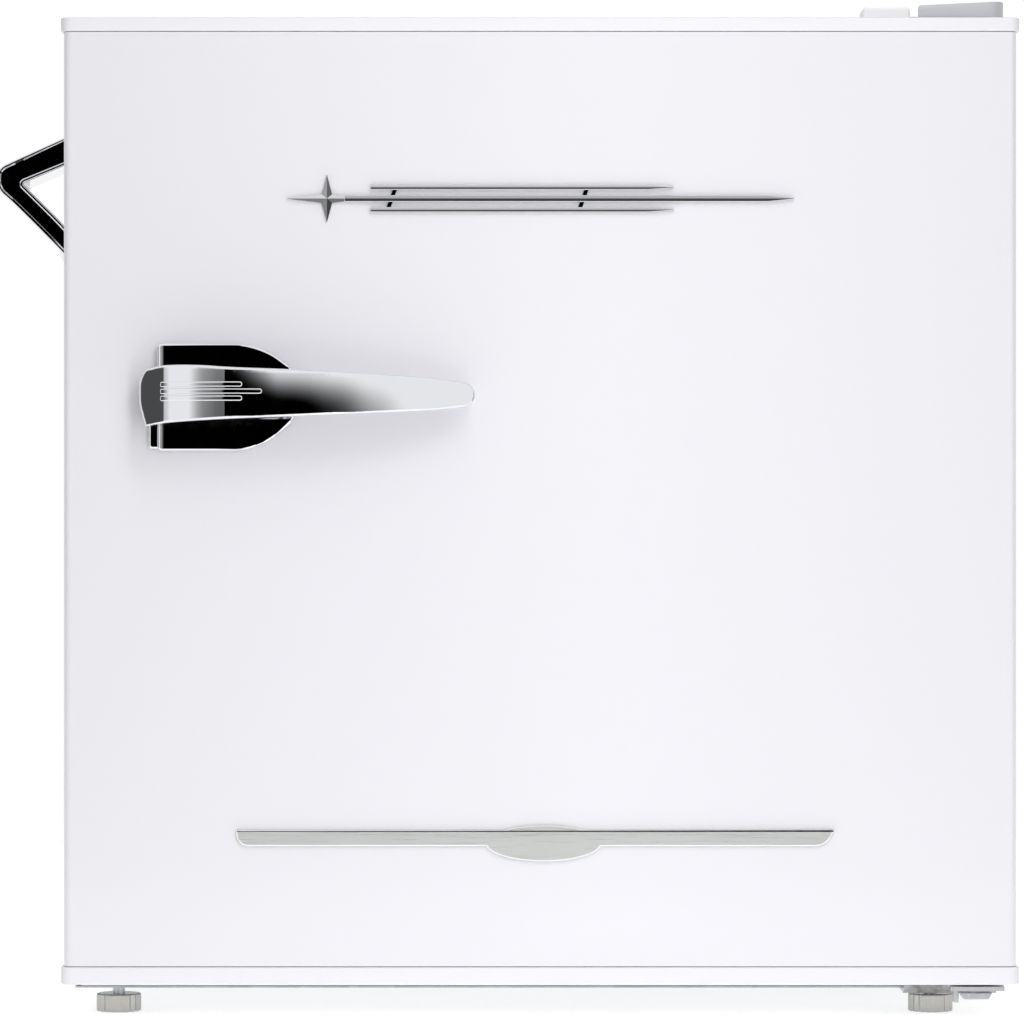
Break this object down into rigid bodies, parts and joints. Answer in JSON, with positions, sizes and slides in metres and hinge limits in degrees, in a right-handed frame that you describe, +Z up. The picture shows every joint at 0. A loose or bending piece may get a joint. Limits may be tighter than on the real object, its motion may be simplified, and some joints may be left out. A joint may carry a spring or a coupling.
{
  "type": "mini fridge",
  "caption": "Retro cube mini fridge with a foamed steel cabinet, right-hinged door, chrome lever handle, side bottle opener, freezer box and levelling feet.",
  "frame": {"origin": "middle of the whole object's footprint, on the floor", "axes": "+X towards the door's hinge side, +Y from the door towards the back, +Z up"},
  "size_m": [0.4824, 0.4964, 0.4765],
  "materials": {
    "white_enamel": "gloss white enamel",
    "white_plastic": "satin white",
    "grey_plastic": "satin grey",
    "liner_plastic": "satin white, thermoformed",
    "clear_plastic": "clear",
    "foam": "rigid foam",
    "chrome": "polished",
    "brushed_strip": "satin",
    "zinc_steel": "zinc plated",
    "black_steel": "satin black",
    "black_plastic": "satin black",
    "rubber": "matte",
    "gasket": "matte white",
    "glass": "clear toughened",
    "aluminium": "satin",
    "copper": "drawn tube"
  },
  "bodies": {
    "cabinet": {"outer_case": "white_enamel", "rear_panel": "zinc_steel", "base_plate": "zinc_steel", "compressor_tray": "zinc_steel", "insulation_foam": "foam", "inner_liner": "liner_plastic", "evaporator_box": "aluminium", "freezer_frame": "white_plastic", "thermostat_housing": "white_plastic", "compressor": "black_steel", "compressor_mount": "black_steel", "grommet_left_front": "rubber", "grommet_left_rear": "rubber", "grommet_right_front": "rubber", "grommet_right_rear": "rubber", "relay_cover": "black_plastic", "evaporating_dish": "black_plastic", "filter_drier": "copper", "condenser_tube": "black_steel", "condenser_strap_left": "black_steel", "condenser_strap_right": "black_steel", "discharge_pipe": "copper", "suction_pipe": "copper", "lower_hinge_bracket": "zinc_steel", "lower_hinge_pin": "zinc_steel", "upper_hinge_plate": "zinc_steel", "upper_hinge_pin": "zinc_steel", "hinge_cover": "grey_plastic", "hinge_screw_cover": "white_plastic", "left_rear_foot": "rubber", "right_rear_foot": "rubber", "bottle_opener": "chrome", "opener_screw_front": "chrome", "opener_screw_rear": "chrome"},
    "door": {"door_skin": "white_enamel", "door_cap_bottom": "white_plastic", "door_cap_top": "white_plastic", "door_foam": "foam", "door_liner": "liner_plastic", "door_gasket": "gasket", "upper_door_bin": "clear_plastic", "lower_door_bin": "clear_plastic", "handle_plate": "chrome", "handle_lever": "chrome", "badge_ornament": "chrome", "trim_strip": "brushed_strip", "lower_hinge_bush": "black_plastic", "upper_hinge_bush": "black_plastic"},
    "freezer_flap": {"freezer_flap": "clear_plastic"},
    "drip_tray": {"drip_tray": "clear_plastic"},
    "shelf": {"shelf_glass": "glass", "shelf_front_trim": "white_plastic", "shelf_rear_trim": "white_plastic"},
    "thermostat_knob": {"thermostat_knob": "white_plastic"},
    "left_foot_stud": {"left_foot_stud": "zinc_steel"},
    "left_foot": {"left_foot": "white_plastic"},
    "right_foot_stud": {"right_foot_stud": "zinc_steel"},
    "right_foot": {"right_foot": "white_plastic"}
  },
  "joints": [
    {"name": "door_hinge", "type": "hinge", "parent": "cabinet", "child": "door", "pos_m": [0.22875, -0.18925, 0.018], "axis": [0, 0, 1], "range_deg": [0, 135]},
    {"name": "freezer_flap_hinge", "type": "hinge", "parent": "cabinet", "child": "freezer_flap", "pos_m": [0.01875, -0.02825, 0.428], "axis": [-1, 0, 0], "range_deg": [0, 85]},
    {"name": "drip_tray_slide", "type": "slide", "parent": "cabinet", "child": "drip_tray", "axis": [0, -1, 0], "range_m": [0, 0.06]},
    {"name": "shelf_slide", "type": "slide", "parent": "cabinet", "child": "shelf", "axis": [0, -1, 0], "range_m": [0, 0.1]},
    {"name": "thermostat_axle", "type": "hinge", "parent": "cabinet", "child": "thermostat_knob", "pos_m": [0.17675, 0.08175, 0.252], "axis": [-1, 0, 0], "range_deg": [0, 300]},
    {"name": "left_foot_lift", "type": "slide", "parent": "cabinet", "child": "left_foot_stud", "axis": [0, 0, -1], "range_m": [0, 0.008]},
    {"name": "left_foot_turn", "type": "hinge", "parent": "left_foot_stud", "child": "left_foot", "pos_m": [-0.18125, -0.14825, 0], "axis": [0, 0, -1], "range_deg": [0, 2884]},
    {"name": "right_foot_lift", "type": "slide", "parent": "cabinet", "child": "right_foot_stud", "axis": [0, 0, -1], "range_m": [0, 0.008]},
    {"name": "right_foot_turn", "type": "hinge", "parent": "right_foot_stud", "child": "right_foot", "pos_m": [0.20475, -0.14825, 0], "axis": [0, 0, -1], "range_deg": [0, 2884]}
  ],
  "couplings": [
    {"joint": "left_foot_turn", "follows": "left_foot_lift", "rad_per_m": 6283.2},
    {"joint": "right_foot_turn", "follows": "right_foot_lift", "rad_per_m": 6283.2}
  ]
}
